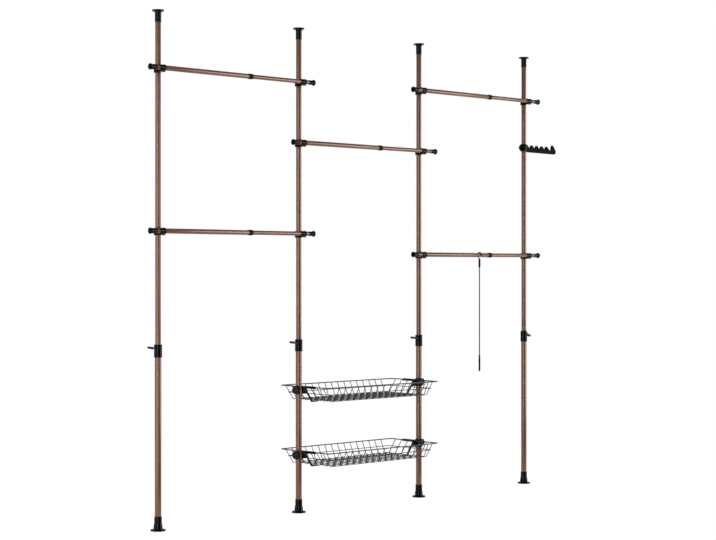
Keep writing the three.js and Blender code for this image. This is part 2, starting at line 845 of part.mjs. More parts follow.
// Poles, from the floor up. The levers of the first three point left, the last one points right.
poles.forEach((x, i) => {
  const last = i === poles.length - 1;
  const facing = [0, 0, last ? 0 : 180];
  const place = (solid) => solid.translate([x, 0, 0]);
  addPiece(`foot_${i + 1}`, place(foot()), blackPlastic);
  addPiece(`lower_tube_${i + 1}`, place(lowerTube()), brownLacquer);
  addPiece(`lock_collar_${i + 1}`, place(lockCollar().rotate(facing)), blackPlastic);
  addPiece(`lock_lever_${i + 1}`, place(lockLever(last ? leverDroop : 0).rotate(facing)), blackPlastic);
  addPiece(`upper_tube_${i + 1}`, place(upperTube()), brownLacquer);
  addPiece(`ceiling_cap_${i + 1}`, place(ceilingCap()), blackPlastic);
});

// Hanging bars. Each reaches past both of its poles.
const bars = [
  { left: 0, share: topLeftBarShare, overhang: leftBayOverhang, end: leftBayEnd },
  { left: 0, share: lowLeftBarShare, overhang: leftBayOverhang, end: leftBayEnd },
  { left: 1, share: middleBarShare, overhang: middleBayOverhang, end: middleBayEnd },
  { left: 2, share: topRightBarShare, overhang: rightBayOverhang, end: rightBayEnd },
  { left: 2, share: lowRightBarShare, overhang: rightBayOverhang, end: rightBayEnd },
];

bars.forEach(({ left, share, overhang, end }, i) => {
  const height = heightOnUpperTube(share);
  const tip = poles[left] - overhang;
  const innerStart = tip + outerBarLength - innerBarInsertion;
  const innerEnd = poles[left + 1] + end;
  const lay = (solid, x) => solid.rotate([0, 90, 0]).translate([x, -barOffset, height]);
  addPiece(`bar_outer_tube_${i + 1}`, lay(outerBar(), tip), brownLacquer);
  addPiece(`bar_inner_tube_${i + 1}`, lay(innerBar(innerEnd - innerStart), innerStart), brownLacquer);
  const clamps = [['left', outerBarDiameter, left], ['right', innerBarDiameter, left + 1]];
  for (const [side, diameter, index] of clamps) {
    const clamp = crossClamp(diameter).translate([poles[index], 0, height]);
    addPiece(`cross_clamp_${side}_${i + 1}`, clamp, blackPlastic);
  }
});

// Baskets, each on two brackets that are one part turned half round
const basketMiddle = (poles[1] + poles[2]) / 2;
[['upper', upperBasketShare], ['lower', lowerBasketShare]].forEach(([level, share]) => {
  const height = heightOnLowerTube(share);
  addPiece(`basket_${level}`, basket().translate([basketMiddle, 0, height]), blackWire);
  const bossEnd = screwGrip(lowerTubeDiameter).bossEnd;
  [['left', poles[1], 0], ['right', poles[2], 180]].forEach(([side, x, facing]) => {
    const place = (solid) => solid.rotate([0, 0, facing]).translate([x, 0, height]);
    addPiece(`basket_bracket_${level}_${side}`, place(basketBracket()), blackPlastic);
    const screw = knob(bossEnd).translate([0, 0, -bracketScrewDrop]);
    addPiece(`bracket_knob_${level}_${side}`, place(screw), blackPlastic);
  });
});

// Hook rail and its knob
const railHeightOnPole = heightOnUpperTube(hookRailShare);
const railPlace = [poles[3], 0, railHeightOnPole];
addPiece('hook_rail', hookRail().translate(railPlace), blackPlastic);
const railKnob = knob(screwGrip(upperTubeDiameter).bossEnd).rotate([0, 0, railTurn]);
addPiece('hook_rail_knob', railKnob.translate(railPlace), blackPlastic);

// Reach stick on the lowest bar's outer tube
const stickRun = outerBarLength - rightBayOverhang;
const stickX = poles[2] + stickRun * stickPlaceShare;
const stickPlace = [stickX, -barOffset, heightOnUpperTube(lowRightBarShare)];
addPiece('reach_stick_head', stickHead().translate(stickPlace), blackPlastic);
addPiece('reach_stick_rod', stickRod().translate(stickPlace), greyRod);
addPiece('reach_stick_grip', stickGrip().translate(stickPlace), blackPlastic);

export default group;
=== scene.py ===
import math
import bmesh
import bpy
from mathutils import Matrix, Vector


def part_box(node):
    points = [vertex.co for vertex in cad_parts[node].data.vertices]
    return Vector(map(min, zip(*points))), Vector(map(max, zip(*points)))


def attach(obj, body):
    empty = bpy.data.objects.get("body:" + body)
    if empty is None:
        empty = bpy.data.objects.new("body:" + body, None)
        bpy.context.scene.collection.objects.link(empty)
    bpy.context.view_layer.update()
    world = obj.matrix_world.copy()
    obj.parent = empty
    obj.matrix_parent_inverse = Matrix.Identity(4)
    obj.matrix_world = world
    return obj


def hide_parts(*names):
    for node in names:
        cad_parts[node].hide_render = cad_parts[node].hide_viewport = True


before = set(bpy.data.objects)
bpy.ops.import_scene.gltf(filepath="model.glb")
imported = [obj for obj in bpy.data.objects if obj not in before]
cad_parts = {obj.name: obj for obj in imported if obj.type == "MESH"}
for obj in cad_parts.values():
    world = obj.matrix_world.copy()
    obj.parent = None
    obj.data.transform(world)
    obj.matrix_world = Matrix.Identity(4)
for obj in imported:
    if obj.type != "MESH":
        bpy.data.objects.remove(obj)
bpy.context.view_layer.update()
sceneNow = bpy.context.scene
mm = 0.001
play = 0.3 * mm  # clearance between pieces that slide or turn in each other
tight = 0.1 * mm  # clearance of a pushed-on cap
past = 5 * mm  # how far a cut runs past the face that it opens
through = 60 * mm  # half the length of a bore through a clamp or grip
nearZero, weldDistance = 1e-7, 1e-6
fineSides, middleSides, smallSides = 64, 32, 24  # facets of a round form, by its size


# Small helpers

def middle(node):
    low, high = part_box(node)
    return (low + high) / 2


# the linear shares of a hexadecimal colour, by the sRGB curve
def linearColour(code):
    shares = [int(code[i:i + 2], 16) / 255 for i in (1, 3, 5)]
    return [s / 12.92 if s <= 0.04045 else ((s + 0.055) / 1.055) ** 2.4 for s in shares] + [1]


def newObject(name, data):
    thing = bpy.data.objects.new(name, data)
    sceneNow.collection.objects.link(thing)
    return thing


def addNode(tree, kind, links=None, **settings):
    node = tree.nodes.new(kind)
    for name, value in settings.items():
        setattr(node, name, value)
    for name, value in (links or {}).items():
        if isinstance(value, bpy.types.NodeSocket):
            tree.links.new(value, node.inputs[name])
        else:
            node.inputs[name].default_value = value
    return node


# Materials

def newMaterial(name):
    material = bpy.data.materials.new(name)
    material.use_nodes = True
    tree = material.node_tree
    tree.nodes.clear()
    place = addNode(tree, "ShaderNodeTexCoord").outputs["Object"]
    shader = addNode(tree, "ShaderNodeBsdfPrincipled")
    addNode(tree, "ShaderNodeOutputMaterial", {"Surface": shader.outputs["BSDF"]})
    return material, tree, place, shader


noiseLook = dict(patchDetail=3.0, patchRoughness=0.6, grainDetail=2.0)
mixFirst, mixSecond, mixResult = 6, 7, 2  # the mix node's sockets for colours


# colour and roughness wander between two values over patches of the given real size
def patchyFinish(tree, place, shader, look):
    patches = addNode(tree, "ShaderNodeTexNoise", {
        "Vector": place, "Scale": 1 / (look["patch"] * mm),
        "Detail": noiseLook["patchDetail"], "Roughness": noiseLook["patchRoughness"]})
    colour = addNode(tree, "ShaderNodeMix", {
        "Factor": patches.outputs["Fac"], mixFirst: linearColour(look["colours"][0]),
        mixSecond: linearColour(look["colours"][1])}, data_type="RGBA")
    tree.links.new(colour.outputs[mixResult], shader.inputs["Base Color"])
    gloss = addNode(tree, "ShaderNodeMapRange", {
        "Value": patches.outputs["Fac"], "To Min": look["roughness"][0], "To Max": look["roughness"][1]})
    tree.links.new(gloss.outputs["Result"], shader.inputs["Roughness"])


# grain that the bump shows, at the real spacing or as coarse as the render can show
def grain(tree, place, shader, spacing, height):
    bumps = addNode(tree, "ShaderNodeTexNoise", {
        "Vector": place, "Scale": 1 / (spacing * mm), "Detail": noiseLook["grainDetail"]})
    bump = addNode(tree, "ShaderNodeBump", {
        "Height": bumps.outputs["Fac"], "Strength": 1.0, "Distance": height * mm})
    tree.links.new(bump.outputs["Normal"], shader.inputs["Normal"])


# stoved lacquer on drawn steel tube: satin brown, a soft highlight with faint orange peel
def stovedLacquer(name, look):
    material, tree, place, shader = newMaterial(name)
    patchyFinish(tree, place, shader, look)
    grain(tree, place, shader, look["peel"], look["peelHeight"])
    shader.inputs["Metallic"].default_value = look["metallic"]
    shader.inputs["Coat Weight"].default_value = look["coat"]
    shader.inputs["Coat Roughness"].default_value = look["coatRoughness"]
    return material


# moulded plastic or rubber: spark eroded tool texture, a narrow highlight where it is smooth
def mouldedPlastic(name, look):
    material, tree, place, shader = newMaterial(name)
    patchyFinish(tree, place, shader, look)
    grain(tree, place, shader, look["texture"], look["textureHeight"])
    shader.inputs["IOR"].default_value = look["ior"]
    shader.inputs["Specular IOR Level"].default_value = look["shine"]
    return material


tubeLook = dict(
    colours=("#6f4b37", "#7a5541"), patch=60, roughness=(0.27, 0.32),
    peel=2.5, peelHeight=0.0005,  # real orange peel is near 1 mm, drawn coarser to show
    metallic=0.25, coat=0.22, coatRoughness=0.1)
rodLook = dict(
    colours=("#55473f", "#62534a"), patch=40, roughness=(0.32, 0.4),
    peel=2.5, peelHeight=0.002, metallic=0.4, coat=0.2, coatRoughness=0.2)
absLook = dict(
    colours=("#070708", "#0c0c0d"), patch=25, roughness=(0.1, 0.14), shine=0.1,
    texture=0.8, textureHeight=0.005, ior=1.5)  # tool texture near 0.2 mm, drawn coarser to show
rubberLook = dict(
    colours=("#0a0a0a", "#101010"), patch=12, roughness=(0.7, 0.82), shine=0.12,
    texture=0.9, textureHeight=0.05, ior=1.48)
wireLook = dict(
    colours=("#0f0f10", "#18181a"), patch=30, roughness=(0.28, 0.36),
    peel=1.2, peelHeight=0.012, metallic=0.2, coat=0.2, coatRoughness=0.2)
screwLook = dict(
    colours=("#232324", "#303031"), patch=3, roughness=(0.3, 0.42),
    peel=0.6, peelHeight=0.01, metallic=0.9, coat=0.0, coatRoughness=0.2)

tubeLacquer = stovedLacquer("stovedBrownLacquer", tubeLook)
rodLacquer = stovedLacquer("stovedGreyBrownLacquer", rodLook)
blackAbs = mouldedPlastic("mouldedBlackAbs", absLook)
blackRubber = mouldedPlastic("mouldedBlackRubber", rubberLook)
wireCoat = stovedLacquer("epoxyCoatedBlackWire", wireLook)
blackedSteel = stovedLacquer("blackedSteelScrew", screwLook)
print("materials made:", len(bpy.data.materials))


# Mesh building

# every corner becomes a short curve of the given radius, which takes at most a share of each edge
def softened(points, radius, closed=False, steps=4, share=0.45):
    count = len(points)
    rounded = []
    for i, point in enumerate(points):
        corner = Vector(point)
        if not closed and i in (0, count - 1):
            rounded.append(tuple(corner))
            continue
        before = Vector(points[i - 1]) - corner
        after = Vector(points[(i + 1) % count]) - corner
        room = min(radius, before.length * share, after.length * share)
        start, end = corner + before.normalized() * room, corner + after.normalized() * room
        for k in range(steps + 1):
            t = k / steps
            rounded.append(tuple(start * (1 - t) ** 2 + corner * 2 * t * (1 - t) + end * t ** 2))
    return rounded


# a turned shape about Z from [radius, height] pairs, closed along the axis or in itself
def turned(profile, sides=48):
    shape = bmesh.new()
    rings = []
    for radius, height in profile:
        if radius < nearZero:
            rings.append([shape.verts.new((0, 0, height))])
            continue
        angles = [2 * math.pi * k / sides for k in range(sides)]
        rings.append([shape.verts.new((radius * math.cos(a), radius * math.sin(a), height)) for a in angles])
    spans = list(zip(rings, rings[1:]))
    if len(rings[0]) > 1 or len(rings[-1]) > 1:
        spans.append((rings[-1], rings[0]))
    for lower, upper in spans:
        for k in range(sides):
            n = (k + 1) % sides
            corners = [lower[k % len(lower)], lower[n % len(lower)],
                       upper[n % len(upper)], upper[k % len(upper)]]
            corners = list(dict.fromkeys(corners))
            if len(corners) > 2:
                shape.faces.new(corners)
    return closedMesh(shape)


# a round bar along Z, with rounded rims where an edge is given
def roundBar(radius, low, high, sides=48, edge=0.0):
    profile = [(0, low), (radius, low), (radius, high), (0, high)]
    return turned(softened(profile, edge) if edge else profile, sides)


def tube(inner, outer, low, high, edge, sides=48, steps=2):
    profile = [(inner, low), (outer, low), (outer, high), (inner, high)]
    return turned(softened(profile, edge, closed=True, steps=steps), sides)


# a plate in the XZ plane, centred on Y, from an outline of (x, z) pairs
def plate(outline, thickness):
    shape = bmesh.new()
    front = [shape.verts.new((x, -thickness / 2, z)) for x, z in outline]
    back = [shape.verts.new((x, thickness / 2, z)) for x, z in outline]
    shape.faces.new(front)
    shape.faces.new(back[::-1])
    for k in range(len(outline)):
        n = (k + 1) % len(outline)
        shape.faces.new((front[k], back[k], back[n], front[n]))
    return closedMesh(shape)


def block(xRange, yRange, zRange):
    shape = bmesh.new()
    bmesh.ops.create_cube(shape, size=1)
    for v in shape.verts:
        v.co = [low + (c + 0.5) * (high - low) for c, (low, high) in zip(v.co, (xRange, yRange, zRange))]
    return closedMesh(shape)


def meshOf(shape):
    mesh = bpy.data.meshes.new("shape")
    shape.to_mesh(mesh)
    shape.free()
    return mesh


def closedMesh(shape):
    bmesh.ops.recalc_face_normals(shape, faces=shape.faces)
    return meshOf(shape)


def moved(mesh, matrix):
    copy = mesh.copy()
    copy.transform(matrix)
    return copy


def shifted(mesh, place):
    return moved(mesh, Matrix.Translation(place))


def alongY(mesh):
    return moved(mesh, Matrix.Rotation(-math.pi / 2, 4, "X"))


def alongX(mesh):
    return moved(mesh, Matrix.Rotation(math.pi / 2, 4, "Y"))


# several closed meshes in one, each still a shell of its own
def together(meshes):
    shape = bmesh.new()
    for mesh in meshes:
        shape.from_mesh(mesh)
    return meshOf(shape)


def evaluated(holder):
    bpy.context.view_layer.update()
    graph = bpy.context.evaluated_depsgraph_get()
    mesh = bpy.data.meshes.new_from_object(holder.evaluated_get(graph))
    bpy.data.objects.remove(holder)
    return mesh


# joins the added meshes to the first one, takes the cut ones away and rounds the edges
def carved(base, added=(), cut=(), edge=0.0, steps=3, angle=38):
    holder = newObject("holder", base.copy())
    tools = []
    for operation, meshes in (("UNION", added), ("DIFFERENCE", cut)):
        for mesh in meshes:
            tool = newObject("tool", mesh)
            tools.append(tool)
            change = holder.modifiers.new("change", "BOOLEAN")
            change.operation = operation
            change.solver = "EXACT"
            change.object = tool
    if edge:
        soften = holder.modifiers.new("edges", "BEVEL")
        soften.width = edge
        soften.segments = steps
        soften.limit_method = "ANGLE"
        soften.angle_limit = math.radians(angle)
    mesh = evaluated(holder)
    for tool in tools:
        bpy.data.objects.remove(tool)
    return mesh


def addPiece(name, mesh, finish, body, nodes=(), sharp=32):
    mesh.materials.clear()
    mesh.materials.append(finish)
    mesh.shade_smooth()
    mesh.set_sharp_from_angle(angle=math.radians(sharp))
    mesh.name = name
    piece = newObject(name, mesh)
    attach(piece, body)
    if nodes:
        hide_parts(*nodes)


# Geometry node trees

def newTree(name, sockets):
    tree = bpy.data.node_groups.new(name, "GeometryNodeTree")
    tree.interface.new_socket("Geometry", in_out="INPUT", socket_type="NodeSocketGeometry")
    for label, kind in sockets:
        tree.interface.new_socket(label, in_out="INPUT", socket_type=kind)
    tree.interface.new_socket("Geometry", in_out="OUTPUT", socket_type="NodeSocketGeometry")
    return tree, addNode(tree, "NodeGroupInput").outputs


def endTree(tree, given, geometry):
    real = addNode(tree, "GeometryNodeRealizeInstances", {"Geometry": geometry})
    painted = addNode(tree, "GeometryNodeSetMaterial", {
        "Geometry": real.outputs["Geometry"], "Material": given["Finish"]})
    addNode(tree, "NodeGroupOutput", {"Geometry": painted.outputs["Geometry"]})
    return tree


# a bent wire along the object's own edges, repeated in a straight row
def bentWireTree():
    tree, given = newTree("bentWireRow", (
        ("Count", "NodeSocketInt"), ("Pitch", "NodeSocketVector"), ("Bend Radius", "NodeSocketFloat"),
        ("Bend Steps", "NodeSocketInt"), ("Wire Radius", "NodeSocketFloat"), ("Wire Sides", "NodeSocketInt"),
        ("Finish", "NodeSocketMaterial")))
    line = addNode(tree, "GeometryNodeMeshToCurve", {"Mesh": given["Geometry"]})
    bent = addNode(tree, "GeometryNodeFilletCurve", {
        "Curve": line.outputs["Curve"], "Count": given["Bend Steps"], "Radius": given["Bend Radius"],
        "Limit Radius": True}, mode="POLY")
    section = addNode(tree, "GeometryNodeCurvePrimitiveCircle", {
        "Resolution": given["Wire Sides"], "Radius": given["Wire Radius"]})
    wire = addNode(tree, "GeometryNodeCurveToMesh", {
        "Curve": bent.outputs["Curve"], "Profile Curve": section.outputs["Curve"], "Fill Caps": True})
    places = addNode(tree, "GeometryNodeMeshLine", {
        "Count": given["Count"], "Offset": given["Pitch"]}, mode="OFFSET")
    row = addNode(tree, "GeometryNodeInstanceOnPoints", {
        "Points": places.outputs["Mesh"], "Instance": wire.outputs["Mesh"]})
    return endTree(tree, given, row.outputs["Instances"])


# the object's own mesh, repeated round Z
def ringTree():
    tree, given = newTree("ringOfPieces", (("Count", "NodeSocketInt"), ("Finish", "NodeSocketMaterial")))
    places = addNode(tree, "GeometryNodeMeshCircle", {"Vertices": given["Count"], "Radius": 0.0})
    place = addNode(tree, "GeometryNodeInputIndex")
    each = addNode(tree, "ShaderNodeMath", {0: 2 * math.pi, 1: given["Count"]}, operation="DIVIDE")
    angle = addNode(tree, "ShaderNodeMath", {
        0: place.outputs["Index"], 1: each.outputs["Value"]}, operation="MULTIPLY")
    turn = addNode(tree, "ShaderNodeCombineXYZ", {"Z": angle.outputs["Value"]})
    ring = addNode(tree, "GeometryNodeInstanceOnPoints", {
        "Points": places.outputs["Mesh"], "Instance": given["Geometry"], "Rotation": turn.outputs["Vector"]})
    return endTree(tree, given, ring.outputs["Instances"])


# the object's own mesh, repeated in a straight row
def rowTree():
    tree, given = newTree("rowOfPieces", (
        ("Count", "NodeSocketInt"), ("Pitch", "NodeSocketVector"), ("Finish", "NodeSocketMaterial")))
    places = addNode(tree, "GeometryNodeMeshLine", {
        "Count": given["Count"], "Offset": given["Pitch"]}, mode="OFFSET")
    row = addNode(tree, "GeometryNodeInstanceOnPoints", {
        "Points": places.outputs["Mesh"], "Instance": given["Geometry"]})
    return endTree(tree, given, row.outputs["Instances"])


bentWireRow = bentWireTree()
ringOfPieces = ringTree()
rowOfPieces = rowTree()


def grown(mesh, tree, values):
    holder = newObject("holder", mesh)
    modifier = holder.modifiers.new("shape", "NODES")
    modifier.node_group = tree
    for item in tree.interface.items_tree:
        if item.in_out == "INPUT" and item.name in values:
            modifier[item.identifier] = values[item.name]
    result = evaluated(holder)
    shape = bmesh.new()
    shape.from_mesh(result)
    bmesh.ops.remove_doubles(shape, verts=shape.verts, dist=weldDistance)
    return closedMesh(shape)


def lineMesh(points, closed=False):
    mesh = bpy.data.meshes.new("line")
    edges = [(k, k + 1) for k in range(len(points) - 1)]
    if closed:
        edges.append((len(points) - 1, 0))
    mesh.from_pydata(points, edges, [])
    return mesh


# Places, read from the frame

poleX = [middle(f"lower_tube_{i}").x for i in range(1, 5)]
postBody = ["left_post", "middle_posts", "middle_posts", "right_post"]
barHeight = [middle(f"bar_outer_tube_{i}").z for i in range(1, 6)]
barY = middle("bar_outer_tube_1").y


# Poles

poleLook = dict(lower=16 * mm, lowerWall=1.2 * mm, upper=14 * mm, upperWall=1 * mm, edge=0.4 * mm)
for i, x in enumerate(poleX, 1):
    for part, outer, wall, body in (
            ("lower", poleLook["lower"], poleLook["lowerWall"], postBody[i - 1]),
            ("upper", poleLook["upper"], poleLook["upperWall"], f"upper_pole_{i}")):
        low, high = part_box(f"{part}_tube_{i}")
        shape = tube(outer - wall, outer, low.z, high.z, poleLook["edge"])
        addPiece(f"{part}PoleTube_{i}", shifted(shape, (x, 0, 0)), tubeLacquer, body,
                 [f"{part}_tube_{i}"])

# the nylon bush that guides the upper tube is pressed onto its end
bushLook = dict(length=30 * mm, chamfer=1 * mm, press=0.15 * mm, steps=4)
for i, x in enumerate(poleX, 1):
    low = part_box(f"upper_tube_{i}")[0].z
    outer = poleLook["lower"] - poleLook["lowerWall"] - play
    shape = tube(poleLook["upper"] - bushLook["press"], outer, low, low + bushLook["length"],
                 bushLook["chamfer"], steps=bushLook["steps"])
    addPiece(f"guideBush_{i}", shifted(shape, (x, 0, 0)), blackAbs, f"upper_pole_{i}")
print("poles made")


# Feet

footLook = dict(
    height=70 * mm, floor=8 * mm, flange=37.4 * mm, flangeThickness=8 * mm, flare=11 * mm,
    bulge=22.6 * mm, bulgeHeight=32 * mm, bulgeTaper=2 * mm, sleeve=18.5 * mm, cup=16.3 * mm, soft=2 * mm,
    ribs=6, ribThickness=4 * mm, ribRoot=1 * mm, ribReach=32 * mm, ribEdge=7 * mm, ribTop=12 * mm,
    ribSoft=1.4 * mm, toes=8, toeGap=9 * mm, toeRoot=1 * mm, sides=96,
    lift=0.5 * mm, padThickness=2 * mm, padInset=8 * mm, padSoft=0.6 * mm)


def footShape(look):
    body = turned(softened([
        (0, look["lift"]), (look["flange"], look["lift"]), (look["flange"], look["flangeThickness"]),
        (look["bulge"], look["flare"]), (look["bulge"] - look["bulgeTaper"], look["bulgeHeight"]),
        (look["sleeve"], look["bulgeHeight"] + look["floor"]), (look["sleeve"], look["height"]),
        (look["cup"], look["height"]), (look["cup"], look["floor"]), (0, look["floor"])],
        look["soft"]), look["sides"])
    for vertex in body.vertices:  # the flange runs out into rounded toes
        radius = math.hypot(vertex.co.x, vertex.co.y)
        if radius > look["bulge"] + look["toeRoot"]:
            between = (1 + math.cos(look["toes"] * math.atan2(vertex.co.y, vertex.co.x))) / 2
            share = (radius - look["bulge"]) / (look["flange"] - look["bulge"])
            shrink = 1 - look["toeGap"] * between ** 2 * share / radius
            vertex.co.x *= shrink
            vertex.co.y *= shrink
    root, ribLow = look["sleeve"] + look["ribRoot"], look["padThickness"] + look["ribRoot"]
    rib = plate([
        (root, ribLow), (look["ribReach"], ribLow), (look["ribReach"], look["ribEdge"]),
        (root, look["ribTop"])], look["ribThickness"])
    ribs = grown(carved(rib, edge=look["ribSoft"]), ringOfPieces, {"Count": look["ribs"], "Finish": blackAbs})
    return carved(body, added=[ribs])


footBody = footShape(footLook)
footPad = roundBar(footLook["flange"] - footLook["padInset"], 0, footLook["padThickness"],
                   edge=footLook["padSoft"])
for i, x in enumerate(poleX, 1):
    addPiece(f"footSocket_{i}", shifted(footBody, (x, 0, 0)), blackAbs, postBody[i - 1],
             [f"foot_{i}"])
    addPiece(f"footPad_{i}", shifted(footPad, (x, 0, 0)), blackRubber, postBody[i - 1])
print("feet made")


# Ceiling caps

capLook = dict(
    sleeve=15.6 * mm, bore=14.3 * mm, cupDepth=34 * mm, flare=18 * mm, flareHeight=10 * mm,
    disc=29.5 * mm, discThickness=8 * mm, soft=1.6 * mm,
    padThickness=2 * mm, padInset=1 * mm, padSoft=0.6 * mm)


def capShape(look, low, high):
    discLow = high - look["discThickness"]
    return turned(softened([
        (0, low + look["cupDepth"]), (look["bore"], low + look["cupDepth"]), (look["bore"], low),
        (look["sleeve"], low), (look["sleeve"], discLow - look["flareHeight"]), (look["flare"], discLow),
        (look["disc"], discLow), (look["disc"], high - look["padThickness"]),
        (0, high - look["padThickness"])], look["soft"]))


for i, x in enumerate(poleX, 1):
    low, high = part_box(f"ceiling_cap_{i}")
    pad = roundBar(capLook["disc"] - capLook["padInset"], high.z - capLook["padThickness"], high.z,
                   edge=capLook["padSoft"])
    addPiece(f"ceilingSocket_{i}", shifted(capShape(capLook, low.z, high.z), (x, 0, 0)), blackAbs,
             f"upper_pole_{i}", [f"ceiling_cap_{i}"])
    addPiece(f"ceilingPad_{i}", shifted(pad, (x, 0, 0)), blackRubber, f"upper_pole_{i}")
print("ceiling caps made")


# Lock collars and levers

collarLook = dict(
    outer=20.3 * mm, lowerBore=16.3 * mm, upperBore=14.3 * mm, rim=0.7 * mm, rimHeight=4 * mm,
    pivot=26 * mm, earRadius=5 * mm, earThickness=3 * mm, earStep=15, hubWidth=8 * mm, pin=2 * mm,
    pinSoft=0.4 * mm, slit=1.6 * mm, slitDepth=24 * mm, soft=0.8 * mm)
leverLook = dict(
    pivotHeight=44 * mm, hub=4.5 * mm, hubSoft=0.5 * mm, arm=14 * mm, tip=18 * mm, thickness=8.8 * mm,
    tipThickness=9 * mm, tipRise=9.5 * mm, armDip=1 * mm, tipWidth=15 * mm, soft=2 * mm, edge=0.9 * mm)
loweredLever, droop = 4, 35  # the last pole's lever points the other way and hangs lower


# the lever points along +X here
def collarShape(look, low, high, shoulder, pivotHeight):
    rim = look["outer"] - look["rim"]
    sleeve = turned(softened([
        (look["lowerBore"], low), (look["outer"], low), (look["outer"], low + look["rimHeight"]),
        (rim, low + look["rimHeight"] + look["rim"]), (rim, high - look["rimHeight"] - look["rim"]),
        (look["outer"], high - look["rimHeight"]), (look["outer"], high), (look["upperBore"], high),
        (look["upperBore"], shoulder), (look["lowerBore"], shoulder)], look["soft"], closed=True, steps=3))
    root = (look["outer"] + look["lowerBore"]) / 2
    ends = [(look["pivot"] + look["earRadius"] * math.cos(a), pivotHeight + look["earRadius"] * math.sin(a))
            for a in [math.radians(d) for d in range(-90, 91, look["earStep"])]]
    outline = [(root, pivotHeight - look["earRadius"])] + ends + [(root, pivotHeight + look["earRadius"])]
    ear = plate(outline, look["earThickness"])
    side = look["hubWidth"] / 2 + play + look["earThickness"] / 2
    ears = [shifted(ear, (0, side, 0)), shifted(ear, (0, -side, 0))]
    slit = block((-look["outer"] - past, 0), (-look["slit"] / 2, look["slit"] / 2),
                 (high - look["slitDepth"], high + past))
    reach = side + look["earThickness"] + past
    hole = roundBar(look["pin"] + play, -reach, reach, smallSides)
    return carved(sleeve, added=ears, cut=[shifted(alongY(hole), (look["pivot"], 0, pivotHeight)), slit])


def leverShape(look, hubWidth, pivot, pivotHeight, hang):
    half = look["thickness"] / 2
    reach = look["arm"] + look["tip"]
    hub = alongY(roundBar(look["hub"], -hubWidth / 2, hubWidth / 2, middleSides, look["hubSoft"]))
    arm = block((0, look["arm"]), (-hubWidth / 2, hubWidth / 2), (-half, half))
    start = collarLook["earRadius"] * math.sqrt(2) + play  # clear of the ears' corners
    outline = softened([
        (start, -half), (look["arm"] + half, -half), (reach, look["tipRise"] - look["tipThickness"]),
        (reach, look["tipRise"]), (look["arm"], look["tipRise"] - look["armDip"]),
        (start, half + look["armDip"])], look["soft"], closed=True)
    paddle = plate(outline, look["tipWidth"])
    body = carved(hub, added=[arm, paddle], edge=look["edge"])
    turn = Matrix.Rotation(math.radians(hang), 4, "Y")
    return shifted(moved(body, turn), (pivot, 0, pivotHeight))


def pinShape(look, hubWidth):
    half = hubWidth / 2 + play + look["earThickness"]
    return alongY(roundBar(look["pin"], -half, half, smallSides, look["pinSoft"]))


for i, x in enumerate(poleX, 1):
    low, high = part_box(f"lock_collar_{i}")
    pivotHeight = low.z + leverLook["pivotHeight"]
    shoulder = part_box(f"lower_tube_{i}")[1].z + play
    facing = Matrix.Rotation(0 if i == loweredLever else math.pi, 4, "Z")
    place = Matrix.Translation((x, 0, 0)) @ facing
    collar = collarShape(collarLook, low.z, high.z, shoulder, pivotHeight)
    addPiece(f"lockCollar_{i}", moved(collar, place), blackAbs, postBody[i - 1],
             [f"lock_collar_{i}"])
    hang = droop if i == loweredLever else 0
    lever = leverShape(leverLook, collarLook["hubWidth"], collarLook["pivot"], pivotHeight, hang)
    addPiece(f"lockLever_{i}", moved(lever, place), blackAbs, f"lever_{i}",
             [f"lock_lever_{i}"])
    pin = shifted(pinShape(collarLook, collarLook["hubWidth"]), (collarLook["pivot"], 0, pivotHeight))
    addPiece(f"leverPin_{i}", moved(pin, place), blackedSteel, f"lever_{i}")
print("lock collars and levers made")


# Hanging bars

barLook = dict(
    outer=12.5 * mm, outerWall=1 * mm, inner=11 * mm, innerWall=1 * mm, length=635 * mm,
    capLength=39 * mm, disc=15.7 * mm, discThickness=4 * mm, capWall=0.8 * mm, plug=12 * mm,
    capSoft=1.2 * mm, reducerLength=26 * mm, reducer=14.2 * mm, reducerChamfer=2 * mm, reducerSoft=0.5 * mm,
    reducerGrooves=5, firstGroove=6 * mm, groovePitch=3.2 * mm, grooveWidth=1.2 * mm, grooveDepth=0.5 * mm,
    guideLength=15 * mm, guideEdge=0.3 * mm)
barBodies = [("bar_1_outer", "bar_1_inner"), ("bar_2_outer", "bar_2_inner"), ("bar_3", "bar_3"),
             ("bar_4_outer", "bar_4_inner"), ("bar_5_outer", "bar_5_inner")]


# an end cap with its closed end at zero, pushed over the tube
def endCap(look, tubeRadius):
    sleeve = tubeRadius + look["capWall"]
    profile = [
        (0, 0), (look["disc"], 0), (look["disc"], look["discThickness"]), (sleeve, look["discThickness"]),
        (sleeve, look["capLength"]), (tubeRadius + tight, look["capLength"]),
        (tubeRadius + tight, look["plug"]), (0, look["plug"])]
    return turned(softened(profile, look["capSoft"]))


def reducerShape(look):
    start = look["length"] - look["reducerLength"]
    profile = [(look["inner"] + play, start), (look["outer"], start),
               (look["reducer"], start + look["reducerChamfer"])]
    for k in range(look["reducerGrooves"]):
        low = start + look["firstGroove"] + k * look["groovePitch"]
        high = low + look["grooveWidth"]
        deep = look["reducer"] - look["grooveDepth"]
        profile += [(look["reducer"], low), (deep, low), (deep, high), (look["reducer"], high)]
    profile += [(look["reducer"], look["length"]), (look["inner"] + play, look["length"])]
    return turned(softened(profile, look["reducerSoft"], closed=True, steps=2))


def layBar(mesh, x, height):
    return shifted(alongX(mesh), (x, barY, height))


